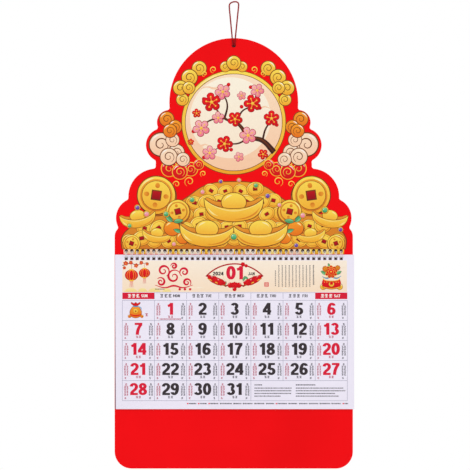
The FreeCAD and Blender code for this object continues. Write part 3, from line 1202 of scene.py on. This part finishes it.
pageSetup = {
    "left": -171.1, "columnWidth": 49.35, "columns": 7,
    "top": -70.7, "rowHeight": 30.8, "rows": 5,
    "weekdayBand": (-58.5, -68.5),
    "banner": (-171.1, -57.6, 173.8, -9.2),
    "weekdays": ("SUN", "MON", "TUE", "WED", "THU", "FRI", "SAT"),
    "days": 31, "firstColumn": 1,
    "redDays": (1,), "redColumns": (0, 6),
    "figureHeight": 18.2, "figureDrop": 3.6,
    "markSize": 3.3, "markPitch": 3.9, "markBar": 0.2, "rule": 0.48,
    "dayMark": 5.4, "dayMarkPitch": 6.2, "dayMarkLeft": 8.6, "dayName": 4.5, "dayNameMiddle": 33.8,
    # a day's small marks: two columns beside its figure and a pair under it
    "marksLeft": 2.6, "marksRight": 8.9, "marksDrop": 7.2, "marksTail": 21.0,
    "underDrop": 26.9, "underSize": 3.7,
    # the first day's line of small print: from, to, height and drop
    "firstLine": (8, 41, 1.5, 29.2),
    # the notes box: its column, and each block's left, title's length and lines' lengths
    "notesColumn": 4, "notes": [(5.5, 12, (57, 57, 56, 40)), (69, 30, (73, 76, 60, 66))],
    "notesDrop": 12, "notesPitch": 4.1,
    "footLeft": -71.8, "footRight": 175.3, "lastDot": 172, "foot": -229.8, "footDot": 2.2,
    "seed": 31,
}
pageChance = random.Random(pageSetup["seed"])


def markBars(x, y, size):
    # A mark of a few level bars and a short upright, which stands for one small printed sign
    thick = size * pageSetup["markBar"]
    bars = []
    for height in (0.03, 0.41, 0.79):
        start, end = pageChance.uniform(0, 0.2), pageChance.uniform(0.72, 1)
        bars.append(box(x + size * start, y + size * height, x + size * end, y + size * height + thick))
    stem = x + size * pageChance.uniform(0.3, 0.6)
    bars.append(box(stem, y + size * 0.25, stem + thick, y + size * 0.39))
    bars.append(box(stem, y + size * 0.63, stem + thick, y + size * 0.77))
    return bars


def markColumn(size, pitch, tail):
    # Four rows of two marks under a single one, and one more at the foot
    bars = markBars(size * 0.55, 0, size)
    for row in range(4):
        for i in range(2):
            bars += markBars(i * size * 1.1, -(row + 1) * pitch, size)
    return barMesh(bars + markBars(size * 0.2, -tail, size * 0.9))


def wordLine(left, right, height, gap=0.5):
    # A line of small print, as a row of short bars
    bars, x = [], left
    while x < right:
        width = min(pageChance.uniform(0.8, 2.4), right - x)
        bars.append(box(x, 0, x + width, height))
        x += width + gap
    return barMesh(bars)


def printRules(setup):
    left, top, width, height = setup["left"], setup["top"], setup["columnWidth"], setup["rowHeight"]
    right, foot = left + width * setup["columns"], top - height * setup["rows"]
    (high, low), rule, half = setup["weekdayBand"], setup["rule"], setup["rule"] / 2
    rules = [top - height * row for row in range(setup["rows"] + 1)] + [high - rule]
    paint("ruleGrey", fillMesh([box(left, y, right, y + rule) for y in rules], flat))
    # two uprights stop above the notes box
    stops = [foot] * 5 + [foot + height] * 2 + [foot]
    edges = [left + width * i for i in range(setup["columns"] + 1)]
    paint("ruleGrey", fillMesh([box(x - half, stop, x + half, top) for x, stop in zip(edges, stops)], flat))
    mark, middle = setup["dayMark"], (high + low) / 2
    for i, (name, edge) in enumerate(zip(setup["weekdays"], edges)):
        isRed = i in setup["redColumns"]
        ink = "white" if isRed else "digitGrey"
        if isRed:
            paint("digitRed", fillMesh(box(edge, low, edge + width, high), (0.5, 0.5)))
        else:
            paint("ruleGrey", fillMesh(box(edge - half, low, edge + half, high), flat))
        bars = []
        for k in range(3):
            bars += markBars(edge + setup["dayMarkLeft"] + setup["dayMarkPitch"] * k, middle - mark / 2, mark)
        paint(ink, barMesh(bars))
        printWords(name, edge + setup["dayNameMiddle"], middle + setup["dayName"] / 2, setup["dayName"], ink)


def printDays(setup):
    size, pitch, under = setup["markSize"], setup["markPitch"], setup["underSize"]
    columns = [markColumn(size, pitch, setup["marksTail"]) for i in range(6)]
    pairs = [barMesh(markBars(-0.3 - under, 0, under) + markBars(0.3, 0, under)) for i in range(3)]
    for day in range(1, setup["days"] + 1):
        row, column = divmod(day - 1 + setup["firstColumn"], setup["columns"])
        left, top = setup["left"] + setup["columnWidth"] * column, setup["top"] - setup["rowHeight"] * row
        middle, right = left + setup["columnWidth"] / 2, left + setup["columnWidth"]
        isRed = column in setup["redColumns"] or day in setup["redDays"]
        printWords(str(day), middle, top - setup["figureDrop"], setup["figureHeight"],
                   "digitRed" if isRed else "digitGrey")
        drop = top - setup["marksDrop"]
        paint("markRed", columns[day % 3], shift(left + setup["marksLeft"], drop))
        paint("markGrey", columns[day % 3 + 3], shift(right - setup["marksRight"], drop))
        paint("markRed" if isRed else "markGrey", pairs[day % 3], shift(middle, top - setup["underDrop"]))
    first = setup["left"] + setup["columnWidth"] * setup["firstColumn"]
    start, end, high, drop = setup["firstLine"]
    paint("markRed", wordLine(first + start, first + end, high, 0.4), shift(0, setup["top"] - drop))


def printPunchShade(setup):
    # A dark edge of painted shade round each hole of the page
    for middle in loopMiddles(wireSetup):
        x, y = middle / mm, setup["punchRow"]
        squares = [box(x - half, y - half, x + half, y + half)
                   for half in (setup["punch"] + setup["punchShade"], setup["punch"] + setup["punchClear"])]
        paint("darkBrown", fillMesh(squares, flat))


def printNotes(setup):
    # The notes box after the last day, and the line of small print at the foot
    left = setup["left"] + setup["columnWidth"] * setup["notesColumn"]
    top = setup["top"] - setup["rowHeight"] * (setup["rows"] - 1)
    for start, title, lengths in setup["notes"]:
        start += left
        paint("markGrey", wordLine(start, start + title, 1.7), shift(0, top - setup["marksDrop"]))
        for i, length in enumerate(lengths):
            words = wordLine(start, start + length, 1.5, 0.55)
            paint("markGrey", words, shift(0, top - setup["notesDrop"] - setup["notesPitch"] * i))
    x, low, dot = setup["footLeft"], setup["foot"], setup["footDot"]
    while x < setup["lastDot"]:
        ink = "digitRed" if pageChance.random() < 0.35 else "digitGrey"
        paint(ink, fillMesh(box(x, low - 0.1, x + dot, low + 1.9), flat))
        length = pageChance.uniform(12, 19)
        paint("markGrey", wordLine(x + 3, min(x + length, setup["footRight"]), 1.8), shift(0, low))
        x += length + 2.6


printRules(pageSetup)
printPunchShade(holeSetup)
printDays(pageSetup)
printNotes(pageSetup)
print("days printed")


# Banner of the page: lanterns, a scroll cloud, a folding fan with the month's number, and a drum with a peony


def makeLantern():
    parts = line("deepRed", [(0, 18), (0, 9)], 0.5, steps=1)
    parts += outlined(ringPoints(0, 0, 10, 8.4), "red", "deepRed", 0.6)
    for reach in (3.4, 7.0):
        parts += line("gold", ringPoints(0, 0, reach, 8.0), 0.4, closed=True)
    parts += fill("gold", box(-3.6, 7.6, 3.6, 9.6)) + fill("gold", box(-3.6, -9.6, 3.6, -7.6))
    for x in (-1.6, 0, 1.6):
        parts += line("red", [(x, -9.4), (x * 1.5, -19)], [0.7, 0.5], steps=1)
    return parts


def makeFan(setup):
    x, pivot, outer, inner = setup["x"], setup["pivot"], setup["outer"], setup["inner"]
    half, parts = setup["halfAngle"], []
    # the blade, and the paler one within its border: its radii, its ends' angle, and its foot's share
    for ink, high, low, end, share in (
        ("deepRed", outer, inner, 0, 0.62), ("cream", outer - setup["border"], inner + 2.0, 3.2, 0.55),
    ):
        leaf = ringPoints(x, pivot, high, start=90 - half + end, sweep=2 * half - 2 * end, count=31)
        leaf += ringPoints(x, pivot, low, start=90 + half * share, sweep=-2 * share * half, count=15)
        parts += fill(ink, sharp(leaf))
    for share in (-0.72, -0.5, -0.28, 0.28, 0.5, 0.72):
        turn = radians(90 + half * share)
        rib = [(x + reach * cos(turn), pivot + reach * sin(turn)) for reach in (inner + 6, outer - 2)]
        parts += line("peach", rib, 0.4, steps=1)
    return parts


def makeDrum():
    side = [(-15, 8, 0), (15, 8, 0), (17.5, 0), (15, -9, 0), (0, -11.5), (-15, -9, 0), (-17.5, 0)]
    parts = outlined(side, "red", "deepRed", 0.7) + line("gold", [(-15.6, -7.4), (0, -10), (15.6, -7.4)], 1.3)
    parts += outlined(ringPoints(0, 8, 15, 4), "cream", "gold", 1.4)
    parts += outlined(ringPoints(0, -1.8, 5.2), "gold", width=0.6)
    parts += fill("red", lobedRing(3.6, 5, 0.3, count=30))
    for x in (-13, -8.6, 8.6, 13):
        parts += fill("gold", ringPoints(x, 2.2 - abs(x) * 0.04, 0.8, count=6), steps=2)
    return parts


bannerSetup = {
    # (x, height, half length) of the hills and the thin clouds
    "hills": [(-158, -53, 12), (-140, -54.5, 9), (-122, -55, 12), (-103, -56, 8)],
    "drifts": [(160, -20, 10), (148, -14, 8), (-60, -52, 16), (88, -54, 18), (-90, -12, 14)],
    "blooms": [(-166, -13.6, 0.36), (-158, -12.4, 0.3), (-150, -17, 0.34), (-142, -12.6, 0.3),
               (-133, -14.6, 0.26), (-168, -20.5, 0.26)],
    # (x, y, radius, start, side) of each scroll
    "scrolls": [(-108, -25, 9.5, -60, 1), (-92, -34, 11, 30, 1), (-76, -27, 7.5, -60, -1),
                (-112, -42, 7, 40, -1), (-72, -43, 6.5, -40, 1), (-92, -18, 5, 0, -1)],
    "fan": {"x": 1.2, "pivot": -73.8, "outer": 60.4, "inner": 27.5, "halfAngle": 47.8, "border": 2.1},
    # (text, middle, top, height, ink)
    "words": [("01", 2.2, -17.8, 20.4, "digitRed"), ("2024", -24.0, -26.6, 5.6, "digitGrey"),
              ("JAN", 27.0, -27.0, 5.0, "digitGrey")],
    "seal": (47.0, -49.4, 53.6, -42.8),
    "verses": {
        "left": 62.8, "count": 12, "pitch": 5.3, "top": -16.5, "foot": -51.0, "size": 2.3, "step": 1.35,
    },
}


def printPicture(setup):
    # At the left: hills, a branch with two lanterns, and a scroll ornament
    left, low, right, high = pageSetup["banner"]
    paint("banner", fillMesh(box(left, low, right, high)))
    for x, y, reach in setup["hills"]:
        hill = [(x - reach, low, 0), (x + reach, low, 0)] + ringPoints(x, low, reach * 0.8, 6, 12, 156, 6)
        paint("bannerGold", fillMesh(hill))
    for x, y, half in setup["drifts"]:
        paint("cream", lineMesh(driftPoints(x, y, half, 1.6, 1.4), tapered(5, 2.2, 0.6, peak=0.5)))
    branch = [(-171, -17), (-160, -14), (-148, -15.5), (-132, -12)]
    paint("darkBrown", lineMesh(branch, [1.4, 1.1, 0.8, 0.4]))
    lantern, bloom = makeLantern(), makeBlossom("red")
    stamp(lantern, -157.1, -31.8, 0.98)
    stamp(lantern, -137.1, -28.6, 0.84)
    for x, y, size in setup["blooms"]:
        stamp(bloom, x, y, size, 12 * size * 50)
    for x, y, radius, start, side in setup["scrolls"]:
        curl = facing(spiral(0, 0, radius, 1.45, start, 0.14, 18), side)
        paint("digitRed", lineMesh(curl, tapered(18, 3.6, 0.9, peak=0.3)), shift(x, y))
    sweep = [(-121, -47), (-106, -51), (-92, -48), (-78, -51), (-63, -47)]
    paint("digitRed", lineMesh(sweep, tapered(5, 3.0, 0.8, peak=0.5)))
    for x in (-83, -75, -67):
        paint("digitRed", fillMesh(ringPoints(x, -53.4, 1.9, count=8)))
    paint("markGrey", wordLine(-121, -106, 1.2, 0.4), shift(0, -53.8))


def printFan(setup, leaf):
    # In the middle: the fan with the month's number, between ribbons and flowers
    middle = setup["fan"]["x"]
    stamp(makeFan(setup["fan"]), 0, 0)
    for words in setup["words"]:
        printWords(*words)
    peony, curl = makePeony("red", "deepRed"), makeCurl("red", "deepRed")
    for side in (-1, 1):
        for x, y, size, turn in ((21, -38.5, 0.62, 140), (13, -41, 0.62, 70), (33, -36.5, 0.5, 30)):
            stamp(leaf, middle + side * x, y, size, turn, side < 0)
        wave = [(middle + side * x, y) for x, y in ((41, -34.5), (33, -38), (24, -42), (14, -45))]
        paint("deepRed", lineMesh(wave, [5.0, 10.4, 10.8, 6.0]))
        paint("red", lineMesh(wave, [3.8, 9.2, 9.6, 4.8]))
        for lift, ink in ((2.6, "pink"), (-2.4, "gold")):
            crest = [(x - side * lift * 0.35, y + lift) for x, y in wave]
            paint(ink, lineMesh(crest, [0.3, 1.5, 1.5, 0.3]))
        for x, y, size in ((31, -38, 0.50), (21, -42.8, 0.52), (38.6, -34.2, 0.3)):
            stamp(peony, middle + side * x, y, size, 20 * x, side < 0)
    for motif, x, y, size, flip in (
        (curl, -5.4, -47.2, 0.42, False), (curl, 7.8, -47.2, 0.42, True), (peony, 1.2, -47.6, 0.56, False),
        (curl, 1.2, -53.2, 0.32, False), (peony, 14, -15.2, 0.34, False), (peony, 19, -17.4, 0.26, False),
    ):
        stamp(motif, x, y, size, flip=flip)


def printVerses(setup):
    # A seal, and columns of small marks: the first starts lower, the last is larger and ends sooner
    left, low, right, high = setup["seal"]
    lines = [box(left + 1, y, right - 1, y + 0.8) for y in (-48.4, -46.4, -44.6)]
    paint("digitRed", fillMesh([box(left, low, right, high)] + lines, flat))
    verses = setup["verses"]
    size, last = verses["size"], verses["count"] - 1
    for i in range(verses["count"]):
        y = verses["top"] - (8 if i == 0 else 0) - size
        bars = []
        while y > verses["foot"] + (2 if i == last else 0):
            bars += markBars(verses["left"] + verses["pitch"] * i, y, size * (1.2 if i == last else 1))
            y -= size * verses["step"]
        paint("markGrey", barMesh(bars))


def printDrum(leaf):
    # At the right: the drum with three flowers and a ribbon
    curl = makeCurl("gold")
    stamp(curl, 137.5, -49.5, 0.5)
    stamp(curl, 162.5, -49.5, 0.5, flip=True)
    stamp(makeDrum(), 150, -44, 0.82)
    for x, y, size, turn in (
        (143, -31, 0.85, 150), (156, -31, 0.85, 30), (148, -22, 0.7, 110), (158, -25, 0.6, 50),
    ):
        stamp(leaf, x, y, size, turn)
    ribbon = [(136, -34), (142, -36.5), (150, -34.5), (158, -36.5), (165, -33)]
    paint("skyBlue", lineMesh(ribbon, tapered(5, 3.0, 0.8, peak=0.5)))
    stamp(makePeony("red", "gold"), 149.5, -26.5, 0.98)
    flower = makePeony("orange", "brownLine")
    stamp(flower, 140.5, -22, 0.46)
    stamp(flower, 159.5, -20.5, 0.42)


def printPouch(x, y):
    # A drawstring pouch with a coin on it, in the cell before the first day
    body = [(-7, -11), (7, -11), (10, -4), (6.5, 4), (3.6, 6.4), (-3.6, 6.4), (-6.5, 4), (-10, -4)]
    frill = [(-3, 7, 0), (-7.5, 12.6), (-2.6, 11), (0, 13), (2.6, 11), (7.5, 12.6), (3, 7, 0)]
    parts = outlined(frill, "red", width=0.6) + outlined(body, "orange", width=0.6)
    parts += line("red", [(-9.2, -7.4), (0, -9.4), (9.2, -7.4)], [1.6, 2.2, 1.6])
    parts += line("skyBlue", [(-4.4, 6.6), (0, 5.8), (4.4, 6.6)], 1.8)
    parts += line("skyBlue", [(4, 6), (9, 3.6), (8.4, -1)], [1.2, 1.2, 0.8])
    for ink, mesh in parts:
        paint(ink, mesh, shift(x, y) @ Matrix.Scale(0.92, 4))
    stamp(makeCoin(False), x, y - 1.6, 0.13)
    for side in (-1, 1):
        stamp(makeCurl("orange"), x + 9.5 * side, y - 9.5, 0.26, flip=side > 0)
    paint("markRed", barMesh(markBars(x + 14.5, y - 9.5, 4.6)))


oneLeaf = makeLeaf()
printPicture(bannerSetup)
printFan(bannerSetup, oneLeaf)
printVerses(bannerSetup)
printDrum(oneLeaf)
printPouch(-150.6, -85.4)
joinPrinted("page", pagePlane, "pages")
print("page printed")
